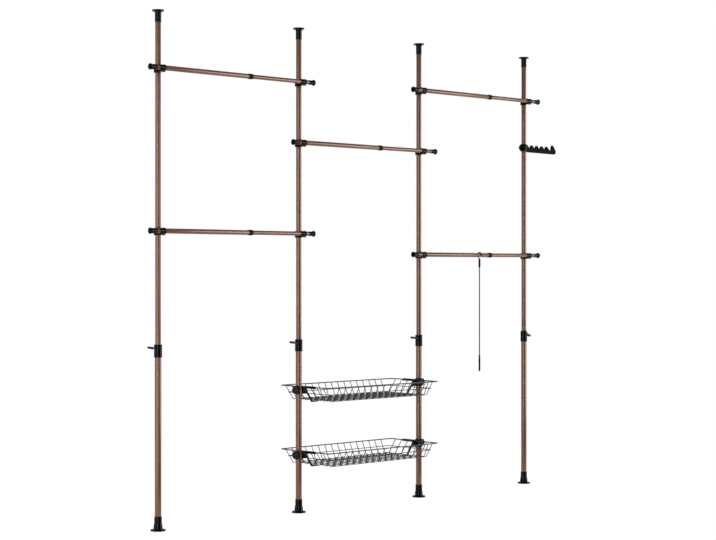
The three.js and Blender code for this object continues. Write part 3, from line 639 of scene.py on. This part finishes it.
endCapLeft = endCap(barLook, barLook["outer"])
endCapRight = moved(endCap(barLook, barLook["inner"]), Matrix.Rotation(math.pi, 4, "X"))
reducer = reducerShape(barLook)
for i, (leftBody, rightBody) in enumerate(barBodies, 1):
    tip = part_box(f"bar_outer_tube_{i}")[0].x
    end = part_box(f"bar_inner_tube_{i}")[1].x
    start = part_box(f"bar_inner_tube_{i}")[0].x
    height = barHeight[i - 1]
    left, right = [f"bar_outer_tube_{i}"], [f"bar_inner_tube_{i}"]
    outerTube = tube(barLook["outer"] - barLook["outerWall"], barLook["outer"], barLook["plug"],
                     barLook["length"] - barLook["reducerLength"], poleLook["edge"])
    innerTube = tube(barLook["inner"] - barLook["innerWall"], barLook["inner"], 0,
                     end - start - barLook["plug"], poleLook["edge"])
    guide = tube(barLook["inner"], barLook["outer"] - barLook["outerWall"] - play, 0,
                 barLook["guideLength"], barLook["guideEdge"])
    for name, mesh, place, finish, body, slot, nodes in (
            ("barOuterTube", outerTube, tip, tubeLacquer, leftBody, "brown_tube", left),
            ("barEndCapLeft", endCapLeft, tip, blackAbs, leftBody, "black_plastic", left),
            ("barReducer", reducer, tip, blackAbs, leftBody, "black_plastic", left),
            ("barInnerTube", innerTube, start, tubeLacquer, rightBody, "brown_tube", right),
            ("barGuideRing", guide, start, blackAbs, rightBody, "black_plastic", right),
            ("barEndCapRight", endCapRight, end, blackAbs, rightBody, "black_plastic", right)):
        addPiece(f"{name}_{i}", layBar(mesh, place, height), finish, body, nodes)
print("hanging bars made")


# Cross clamps

clampLook = dict(
    poleBore=14.3 * mm, poleRing=18 * mm, above=14 * mm, below=20 * mm, ringWidth=32 * mm, ringShift=9 * mm,
    wall=3 * mm, ridge=0.7 * mm, ridgeWidth=4 * mm, neck=16 * mm, neckLow=5 * mm, neckHigh=3.5 * mm,
    lugWidth=14 * mm, lugDrop=5 * mm, slit=2 * mm, edge=0.9 * mm, screwHead=2.9 * mm, screwHeight=2 * mm,
    screwRise=0.4 * mm, screwSoft=0.5 * mm, socket=1.3 * mm, socketDepth=1.2 * mm, socketSides=6)


def clampShape(look, tubeRadius):
    bore = tubeRadius + play
    ring = bore + look["wall"]
    wide, narrow = ring + look["ridge"], look["ridgeWidth"]
    left = -look["ringShift"] - look["ringWidth"] / 2
    right = left + look["ringWidth"]
    poleRing = roundBar(look["poleRing"], -look["below"], look["above"], fineSides)
    barRing = shifted(alongX(turned([
        (0, left), (wide, left), (wide, left + narrow), (ring, left + narrow), (ring, right - narrow),
        (wide, right - narrow), (wide, right), (0, right)], fineSides)), (0, barY, 0))
    neck = block((-look["neck"] / 2, look["neck"] / 2), (barY, 0),
                 (-look["below"] + look["neckLow"], look["above"] - look["neckHigh"]))
    lugLow = -ring - look["lugDrop"]
    lug = block((left, right), (barY - look["lugWidth"] / 2, barY + look["lugWidth"] / 2), (lugLow, -bore))
    poleHole = roundBar(look["poleBore"], -through, through, fineSides)
    barHole = shifted(alongX(roundBar(bore, -through, through, fineSides)), (0, barY, 0))
    poleSlit = block((-look["slit"] / 2, look["slit"] / 2), (0, through), (-through, through))
    barSlit = block((-through, through), (barY - look["slit"] / 2, barY + look["slit"] / 2), (-through, 0))
    return carved(poleRing, added=[barRing, neck, lug], cut=[poleHole, barHole, poleSlit, barSlit],
                  edge=look["edge"])


# a socket screw through the lug, its head to the front
def screwShape(look, lugHalf):
    head = roundBar(look["screwHead"], 0, look["screwHeight"], middleSides, look["screwSoft"])
    deep = look["socketDepth"]
    body = carved(head, cut=[roundBar(look["socket"], -deep, deep, look["socketSides"])])
    return shifted(alongY(body), (0, -lugHalf - look["screwHeight"], 0))


for side, radius in (("left", barLook["outer"]), ("right", barLook["inner"])):
    clamp = clampShape(clampLook, radius)
    screw = screwShape(clampLook, clampLook["lugWidth"] / 2)
    screwDepth = radius + play + clampLook["wall"] + clampLook["lugDrop"] / 2 - clampLook["screwRise"]
    screwPlace = Vector((-clampLook["ringShift"], barY, -screwDepth))
    for i, bodies in enumerate(barBodies, 1):
        x = middle(f"cross_clamp_{side}_{i}").x
        place = Vector((x, 0, barHeight[i - 1]))
        body = bodies[0] if side == "left" else bodies[1]
        addPiece(f"crossClamp_{side}_{i}", shifted(clamp, place), blackAbs, body,
                 [f"cross_clamp_{side}_{i}"])
        addPiece(f"clampScrew_{side}_{i}", shifted(screw, place + screwPlace), blackedSteel, body)
print("cross clamps made")


# Wire baskets

basketLook = dict(
    halfLength=407.4 * mm, halfWidth=182.4 * mm, depth=72 * mm, endSlope=52 * mm, sideSlope=31 * mm,
    corner=12 * mm, bend=8 * mm, bendSteps=6, rim=3 * mm, wire=2 * mm, bite=0.8 * mm,
    crossPitch=47 * mm, crossCount=15, lengthPitch=47.5 * mm, lengthCount=7, ringShare=0.5, wireSides=10,
    sharp=50)


def basketShape(look):
    layer = 2 * look["wire"] - look["bite"]
    crossDrop = look["depth"] - layer
    shared = {"Bend Steps": look["bendSteps"], "Wire Sides": look["wireSides"], "Finish": wireCoat}

    def loop(halfLength, halfWidth, height, corner, radius):
        corners = [(-halfLength, -halfWidth, height), (halfLength, -halfWidth, height),
                   (halfLength, halfWidth, height), (-halfLength, halfWidth, height)]
        return grown(lineMesh(corners, closed=True), bentWireRow, {
            **shared, "Count": 1, "Bend Radius": corner, "Wire Radius": radius})

    def hoops(halfRim, slope, drop, pitch, count, across):
        low = halfRim - slope
        line = [(-halfRim, 0), (-low, -drop), (low, -drop), (halfRim, 0)]
        first = -pitch * (count - 1) / 2
        points = [(first, a, z) if across else (a, first, z) for a, z in line]
        step = (pitch, 0, 0) if across else (0, pitch, 0)
        return grown(lineMesh(points), bentWireRow, {
            **shared, "Count": count, "Pitch": step, "Bend Radius": look["bend"],
            "Wire Radius": look["wire"]})

    endInset = look["wire"] / math.cos(math.atan(look["endSlope"] / look["depth"]))
    sideInset = look["wire"] / math.cos(math.atan(look["sideSlope"] / crossDrop))
    ringInset = look["wire"] - look["bite"]
    ringDrop = look["depth"] * look["ringShare"]
    ringLength = look["halfLength"] - look["endSlope"] * look["ringShare"] - endInset - ringInset
    ringWidth = look["halfWidth"] - look["sideSlope"] * ringDrop / crossDrop - sideInset - ringInset
    return together([
        loop(look["halfLength"], look["halfWidth"], 0, look["corner"], look["rim"]),
        hoops(look["halfWidth"], look["sideSlope"], crossDrop, look["crossPitch"], look["crossCount"], True),
        hoops(look["halfLength"], look["endSlope"], look["depth"], look["lengthPitch"], look["lengthCount"],
              False),
        loop(ringLength, ringWidth, -ringDrop, look["corner"], look["wire"])])


basketMesh = basketShape(basketLook)
basketX = middle("basket_upper").x
rimHeight = {level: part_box(f"basket_{level}")[1].z - basketLook["rim"] for level in ("upper", "lower")}
for level in ("upper", "lower"):
    addPiece(f"wireBasket_{level}", shifted(basketMesh, (basketX, 0, rimHeight[level])), wireCoat,
             f"basket_{level}_body", [f"basket_{level}"], basketLook["sharp"])
print("baskets made:", len(basketMesh.polygons), "faces each")


# Screw grips and knobs

gripLook = dict(
    wall=4.6 * mm, height=42 * mm, facetTurn=15, boss=10 * mm, bossWall=4.5 * mm, bossLength=1 * mm,
    knobTurn=20)
knobLook = dict(
    radius=23 * mm, thickness=12 * mm, lobes=7, lobeDepth=2.5 * mm, edge=2.2 * mm, pointsPerLobe=12,
    dish=2 * mm, dishRadius=14 * mm, dishSlope=4 * mm, dishRim=1 * mm, dishSoft=2 * mm,
    stud=4 * mm, studLength=5.5 * mm, studBite=2 * mm, threadPitch=1.25 * mm, threadDepth=0.6 * mm)


# from +Y to the knob's side, towards -X and a little to the front
def towardsKnob(mesh):
    return moved(mesh, Matrix.Rotation(math.radians(90 + gripLook["knobTurn"]), 4, "Z"))


def gripSolids(look, tubeRadius):
    outer = tubeRadius + play + look["wall"]
    half = look["height"] / 2
    # the solid's bore is faceted, and the boss starts from its widest point
    widest = (tubeRadius + play) / math.cos(math.radians(look["facetTurn"]))
    bossEnd = widest + look["bossWall"] + look["bossLength"]
    boss = alongY(roundBar(look["boss"], tubeRadius, bossEnd))
    return roundBar(outer, -half, half, fineSides), towardsKnob(boss), outer, bossEnd


def gripHoles(tubeRadius, bossEnd):
    tubeHole = roundBar(tubeRadius + play, -through, through, fineSides)
    studHole = alongY(roundBar(knobLook["stud"] + play, 0, bossEnd + past, smallSides))
    return tubeHole, towardsKnob(studHole)


# a lobed hand knob outwards from the end of its boss, with a shallow dish in its face
def knobShape(look, bossEnd):
    count = look["lobes"] * look["pointsPerLobe"]
    outline = []
    for k in range(count):
        angle = 2 * math.pi * k / count
        radius = look["radius"] - look["lobeDepth"] * (1 - math.cos(look["lobes"] * angle)) / 2
        outline.append((radius * math.cos(angle), radius * math.sin(angle)))
    start = bossEnd + play
    head = shifted(plate(outline, look["thickness"]), (0, start + look["thickness"] / 2, 0))
    face = start + look["thickness"]
    rim = look["dishRim"]
    dish = alongY(turned(softened([
        (0, face - look["dish"]), (look["dishRadius"] - look["dishSlope"], face - look["dish"]),
        (look["dishRadius"] + rim, face + rim), (0, face + rim)], look["dishSoft"])))
    return towardsKnob(carved(head, cut=[dish], edge=look["edge"]))


def studShape(look, bossEnd):
    start, end = bossEnd + play - look["studLength"], bossEnd + play + look["studBite"]
    pitch, root = look["threadPitch"], look["stud"] - look["threadDepth"]
    profile = [(0, start), (root, start)]
    for k in range(int((end - start) / pitch)):
        low = start + k * pitch
        profile += [(look["stud"], low + pitch / 2), (root, low + pitch)]
    profile += [(0, profile[-1][1])]
    return towardsKnob(alongY(turned(profile, smallSides)))


# Basket brackets

bracketLook = dict(
    topRise=8 * mm, mouthStart=238, mouthEnd=322, blockRoot=2.5 * mm, blockReach=47 * mm, block=12 * mm,
    blockPlace=-7 * mm, armReach=92 * mm, armBack=40 * mm, armHeight=4 * mm, lipWidth=3 * mm,
    lipRise=9 * mm, strut=8 * mm, strutThickness=6 * mm, toe=36 * mm, endGap=37.5 * mm, edge=1 * mm)
screwDrop = gripLook["height"] / 2 - bracketLook["topRise"]


# the wedge that opens a bracket's grip
def mouthShape(look, reach):
    start, end = math.radians(look["mouthStart"]), math.radians(look["mouthEnd"])
    corners = [(reach * math.cos(a), reach * math.sin(a)) for a in (start, (start + end) / 2, end)]
    return alongY(plate([(0, 0)] + corners, gripLook["height"] + past))


# on the left pole of its bay, rim height zero, open to -Y and basket towards +X
def bracketShape(look):
    radius = poleLook["lower"]
    ring, boss, outer, bossEnd = gripSolids(gripLook, radius)
    ring = carved(ring, added=[boss], cut=[mouthShape(look, 2 * outer)])
    top = -basketLook["rim"] - play
    bottom = top - look["armHeight"]
    lipFace = look["endGap"] - basketLook["rim"] - play
    slope = basketLook["endSlope"] / basketLook["depth"]
    clear = basketLook["wire"] / math.cos(math.atan(slope)) + play
    armOuter = look["endGap"] - slope * top - clear
    lipBack = lipFace - look["lipWidth"]
    blockRoot, blockLow = radius + look["blockRoot"], look["topRise"] - gripLook["height"]
    jaw = plate([
        (blockRoot, top), (armOuter, top),
        (look["blockReach"], (look["endGap"] - clear - look["blockReach"]) / slope),
        (look["blockReach"], blockLow), (blockRoot, blockLow)], look["block"])
    arm = block((lipBack, armOuter), (-look["armReach"], look["armBack"]), (bottom, top))
    lip = block((lipBack, lipFace), (-look["armReach"], look["armBack"]), (bottom, top + look["lipRise"]))
    toeTop = basketLook["depth"] + basketLook["wire"] + play
    toeBottom = toeTop + look["strutThickness"]
    foot = look["endGap"] + slope * toeTop - clear
    strut = plate([
        (armOuter - look["strutThickness"], top - play), (armOuter, top - play), (foot, -toeTop),
        (foot + look["toe"], -toeTop), (foot + look["toe"], -toeBottom),
        (foot - look["strutThickness"], -toeBottom)], look["strut"])
    upright = [shifted(mesh, (0, look["blockPlace"], 0)) for mesh in (jaw, strut)]
    down = (0, 0, -screwDrop)
    holes = [shifted(hole, down) for hole in gripHoles(radius, bossEnd)]
    body = carved(shifted(ring, down), added=[*upright, arm, lip], cut=holes, edge=look["edge"])
    return body, bossEnd


bracketMesh, bracketBoss = bracketShape(bracketLook)
bracketKnob = shifted(knobShape(knobLook, bracketBoss), (0, 0, -screwDrop))
bracketStud = shifted(studShape(knobLook, bracketBoss), (0, 0, -screwDrop))
for level in ("upper", "lower"):
    for side, x, angle in (("left", poleX[1], 0), ("right", poleX[2], math.pi)):
        place = Matrix.Translation((x, 0, rimHeight[level])) @ Matrix.Rotation(angle, 4, "Z")
        key = f"{level}_{side}"
        for name, mesh, finish, body, nodes in (
                ("basketBracket", bracketMesh, blackAbs, f"bracket_{key}", [f"basket_bracket_{key}"]),
                ("bracketKnob", bracketKnob, blackAbs, f"knob_{key}", [f"bracket_knob_{key}"]),
                ("bracketStud", bracketStud, blackedSteel, f"knob_{key}", [])):
            addPiece(f"{name}_{key}", moved(mesh, place), finish, body, nodes)
print("brackets and knobs made")


# Hook rail

railLook = dict(
    reach=320 * mm, turn=5, drop=13 * mm, height=21.5 * mm, thickness=12 * mm, hooks=6, pitch=50.5 * mm,
    rise=23 * mm, front=25 * mm, back=7 * mm, tip=11 * mm, tipRound=3.3 * mm, tipDrop=4 * mm,
    endInset=37 * mm, endRoom=10.5 * mm, endRise=10 * mm, endRound=16 * mm, endSteps=4, soft=3 * mm,
    edge=1 * mm, panelInset=4 * mm, panelDepth=0.8 * mm, panelOverrun=1 * mm)


def railShape(look):
    radius = poleLook["upper"]
    ring, boss, outer, bossEnd = gripSolids(gripLook, radius)
    top = look["height"] / 2 - look["drop"]
    bottom = top - look["height"]
    outline = [(0, bottom)]
    for k in range(look["endSteps"] + 1):  # the rounded lower corner of the free end
        a = math.pi / 2 * k / look["endSteps"]
        outline.append((look["reach"] + look["endRound"] * (math.sin(a) - 1),
                        bottom + look["endRound"] * (1 - math.cos(a))))
    for k in range(look["hooks"]):  # from the free end inwards, the first hook taller than the others
        inside = look["reach"] - look["endInset"] - k * look["pitch"] - (look["endRoom"] if k else 0)
        outside = inside + look["tip"]
        tip = top + look["rise"] + (0 if k else look["endRise"])
        outline += [(outside + look["front"] if k else look["reach"], top),
                    (outside, tip - look["tipRound"]), (outside - look["tipRound"], tip),
                    (inside, tip - look["tipDrop"]), (inside - look["back"], top)]
    outline.append((0, top))
    bar = plate(softened(outline, look["soft"], closed=True, steps=3), look["thickness"])
    inset, deep, side = look["panelInset"], look["panelDepth"], look["thickness"] / 2
    over = side + look["panelOverrun"]
    span = (outer + inset, look["reach"] - look["endRound"] - inset)
    panel = [block(span, limits, (bottom + inset, top - inset))
             for limits in ((-over, -side + deep), (side - deep, over))]
    body = carved(ring, added=[boss, bar], cut=[*gripHoles(radius, bossEnd), *panel], edge=look["edge"])
    return body, bossEnd


railMesh, railBoss = railShape(railLook)
railCentre = Vector((poleX[3], 0, middle("hook_rail_knob").z))
railPlace = Matrix.Translation(railCentre) @ Matrix.Rotation(math.radians(railLook["turn"]), 4, "Z")
for name, mesh, finish, body, nodes in (
        ("hookRail", railMesh, blackAbs, "hook_rail_body", ["hook_rail"]),
        ("hookRailKnob", knobShape(knobLook, railBoss), blackAbs, "rail_knob", ["hook_rail_knob"]),
        ("hookRailStud", studShape(knobLook, railBoss), blackedSteel, "rail_knob", [])):
    addPiece(name, moved(mesh, railPlace), finish, body, nodes)
print("hook rail made")


# Reach stick

stickLook = dict(
    length=677 * mm, play=1 * mm, wire=2.5 * mm, hookStart=-5, hookEnd=245, hookSteps=18,
    neck=6.5 * mm, socketLength=49 * mm, socket=6 * mm, rod=3.5 * mm, gripLength=93 * mm,
    seat=15 * mm, bend=5 * mm, bendSteps=4, wireSides=14, ballShare=1.25, ballSteps=10, ballSides=20,
    taper=8 * mm, neckWall=1.2 * mm, soft=1.2 * mm, rodSoft=0.4 * mm, gripSoft=1.4 * mm, gripWaist=4.9 * mm,
    rings=12, firstRing=14 * mm, ringPitch=5 * mm, ringRadius=5.5 * mm, ringBite=0.6 * mm,
    ringWidth=2.6 * mm, ringSoft=0.9 * mm, ringSteps=4)
stickPlace = Vector((middle("reach_stick_rod").x, barY, barHeight[4]))


def stickShapes(look):
    bend = barLook["outer"] + look["play"] + look["wire"]
    hookTurn = look["hookEnd"] - look["hookStart"]
    line = []
    for k in range(look["hookSteps"] + 1):
        angle = math.radians(look["hookStart"] + hookTurn * k / look["hookSteps"])
        line.append((0, -bend * math.cos(angle), bend * math.sin(angle)))
    socketTop = -barLook["outer"] - look["neck"]
    socketLow = socketTop - look["socketLength"]
    stickLow = barLook["outer"] + look["play"] + 2 * look["wire"] - look["length"]
    line += [(0, 0, socketTop), (0, 0, socketTop - look["seat"])]
    hook = grown(lineMesh(line), bentWireRow, {
        "Count": 1, "Bend Radius": look["bend"], "Bend Steps": look["bendSteps"],
        "Wire Radius": look["wire"], "Wire Sides": look["wireSides"], "Finish": blackAbs})
    tip = Vector(line[0])
    ballRadius = look["wire"] * look["ballShare"]
    turns = [math.pi * k / look["ballSteps"] for k in range(look["ballSteps"] + 1)]
    ball = turned([(ballRadius * math.sin(a), -ballRadius * math.cos(a)) for a in turns], look["ballSides"])
    bore = look["rod"] + play
    socket = turned(softened([
        (0, socketLow + look["seat"] + play), (bore, socketLow + look["seat"] + play), (bore, socketLow),
        (look["socket"], socketLow), (look["socket"], socketTop - look["taper"]),
        (look["wire"] + look["neckWall"], socketTop), (0, socketTop)], look["soft"]), middleSides)
    head = together([hook, shifted(ball, tip), socket])
    rodTop = socketLow + look["seat"]
    rodLow = stickLow + look["gripLength"] - look["seat"]
    rod = roundBar(look["rod"], rodLow, rodTop, middleSides, look["rodSoft"])
    gripTop = stickLow + look["gripLength"]
    seat = gripTop - look["seat"] - play
    body = turned(softened([
        (0, stickLow), (look["gripWaist"], stickLow), (look["gripWaist"], gripTop), (bore, gripTop),
        (bore, seat), (0, seat)], look["gripSoft"]), middleSides)
    band = tube(look["gripWaist"] - look["ringBite"], look["ringRadius"], 0, look["ringWidth"],
                look["ringSoft"], middleSides, look["ringSteps"])
    bands = grown(shifted(band, (0, 0, stickLow + look["firstRing"])), rowOfPieces, {
        "Count": look["rings"], "Pitch": (0, 0, look["ringPitch"]), "Finish": blackAbs})
    return head, rod, together([body, bands])


head, rod, grip = stickShapes(stickLook)
for name, mesh, finish, slot, node in (
        ("reachStickHead", head, blackAbs, "black_plastic", "reach_stick_head"),
        ("reachStickRod", rod, rodLacquer, "grey_rod", "reach_stick_rod"),
        ("reachStickGrip", grip, blackAbs, "black_plastic", "reach_stick_grip")):
    addPiece(name, shifted(mesh, stickPlace), finish, "reach_stick", [node])
print("reach stick made")


# Floor, light and camera

# a white sweep stands behind the object, and the room behind the camera is dim
stageLook = dict(
    floorLow=(-2.4, -0.4), floorHigh=(2.6, 3.2), floorColour="#f4f4f4", whiteShare=0.85, floorLevel=1.15,
    sweepSide=(0.66, 0.68, -0.8), sweepStart=-0.1, sweepFull=0.5, roomLevel=0.08, fillShare=0.5)


def studioFloor(look):
    (left, front), (right, back) = look["floorLow"], look["floorHigh"]
    mesh = bpy.data.meshes.new("studioFloor")
    corners = [(left, front, 0), (right, front, 0), (right, back, 0), (left, back, 0)]
    mesh.from_pydata(corners, [], [(0, 1, 2, 3)])
    floor = newObject("studioFloor", mesh)
    material = bpy.data.materials.new("paleStudioFloor")
    material.use_nodes = True
    tree = material.node_tree
    tree.nodes.clear()
    dull = addNode(tree, "ShaderNodeBsdfDiffuse", {"Color": linearColour(look["floorColour"])})
    # a little over 1, so that with the dull share the lit floor comes out white
    white = addNode(tree, "ShaderNodeEmission", {"Strength": look["floorLevel"]})
    path = addNode(tree, "ShaderNodeLightPath")
    seen = addNode(tree, "ShaderNodeMath", {
        0: path.outputs["Is Camera Ray"], 1: path.outputs["Is Glossy Ray"]}, operation="MAXIMUM")
    direct = addNode(tree, "ShaderNodeMath", {
        0: seen.outputs["Value"], 1: path.outputs["Is Transmission Ray"]}, operation="MAXIMUM")
    share = addNode(tree, "ShaderNodeMath", {
        0: direct.outputs["Value"], 1: look["whiteShare"]}, operation="MULTIPLY")
    both = addNode(tree, "ShaderNodeMixShader", {
        0: share.outputs["Value"], 1: dull.outputs["BSDF"], 2: white.outputs["Emission"]})
    addNode(tree, "ShaderNodeOutputMaterial", {"Surface": both.outputs["Shader"]})
    floor.data.materials.append(material)


def studioWorld(look):
    world = bpy.data.worlds.new("whiteStudio")
    sceneNow.world = world
    world.use_nodes = True
    tree = world.node_tree
    tree.nodes.clear()
    direction = addNode(tree, "ShaderNodeTexCoord").outputs["Generated"]
    facing = addNode(tree, "ShaderNodeVectorMath", {
        0: direction, 1: look["sweepSide"]}, operation="DOT_PRODUCT")
    sweep = addNode(tree, "ShaderNodeMapRange", {
        "Value": facing.outputs["Value"], "From Min": look["sweepStart"], "From Max": look["sweepFull"],
        "To Min": look["roomLevel"], "To Max": 1.0}, interpolation_type="SMOOTHSTEP")
    path = addNode(tree, "ShaderNodeLightPath")
    mirrored = addNode(tree, "ShaderNodeMapRange", {
        "Value": path.outputs["Is Glossy Ray"], "To Min": look["fillShare"], "To Max": 1.0})
    lit = addNode(tree, "ShaderNodeMath", {
        0: sweep.outputs["Result"], 1: mirrored.outputs["Result"]}, operation="MULTIPLY")
    seen = addNode(tree, "ShaderNodeMath", {
        0: path.outputs["Is Camera Ray"], 1: path.outputs["Is Transmission Ray"]}, operation="MAXIMUM")
    level = addNode(tree, "ShaderNodeMapRange", {
        "Value": seen.outputs["Value"], "To Min": lit.outputs["Value"], "To Max": 1.0})
    sky = addNode(tree, "ShaderNodeBackground", {"Color": (1, 1, 1, 1), "Strength": level.outputs["Result"]})
    addNode(tree, "ShaderNodeOutputWorld", {"Surface": sky.outputs["Background"]})


def softbox(name, place, target, size, power):
    lamp = bpy.data.lights.new(name, "AREA")
    lamp.shape = "RECTANGLE"
    lamp.size, lamp.size_y = size
    lamp.energy = power
    holder = newObject(name, lamp)
    holder.location = place
    holder.rotation_euler = (Vector(target) - Vector(place)).to_track_quat("-Z", "Y").to_euler()


lampLook = dict(
    leftSoftbox=dict(place=(-6.3, 1.0, 1.6), target=(-0.5, 0, 1.4), size=(2.4, 5.6), power=155),
    stripLight=dict(place=(-5.53, -3.54, 1.6), target=(-0.3, 0, 1.4), size=(0.7, 5.6), power=190),
    rightSoftbox=dict(place=(4.8, -5.1, 2.0), target=(0.1, 0, 1.5), size=(4.6, 4.6), power=320),
    topSoftbox=dict(place=(-0.3, -1.5, 5.5), target=(0, 0, 1.0), size=(5.0, 3.0), power=25))
cameraLook = dict(place=(-6.54465, -6.664, 1.252), heading=-43.92, lens=87.3, sensor=36.0, sightEnd=200)
camera = bpy.data.cameras.new("photoCamera")
camera.lens = cameraLook["lens"]
camera.sensor_width = cameraLook["sensor"]
camera.clip_end = cameraLook["sightEnd"]
cameraHolder = newObject("photoCamera", camera)
cameraHolder.location = cameraLook["place"]
cameraHolder.rotation_euler = (math.pi / 2, 0, math.radians(cameraLook["heading"]))
sceneNow.camera = cameraHolder

studioFloor(stageLook)
studioWorld(stageLook)
for name, lamp in lampLook.items():
    softbox(name, **lamp)
sceneNow.view_settings.view_transform = "Standard"
print("stage, lights and camera set")
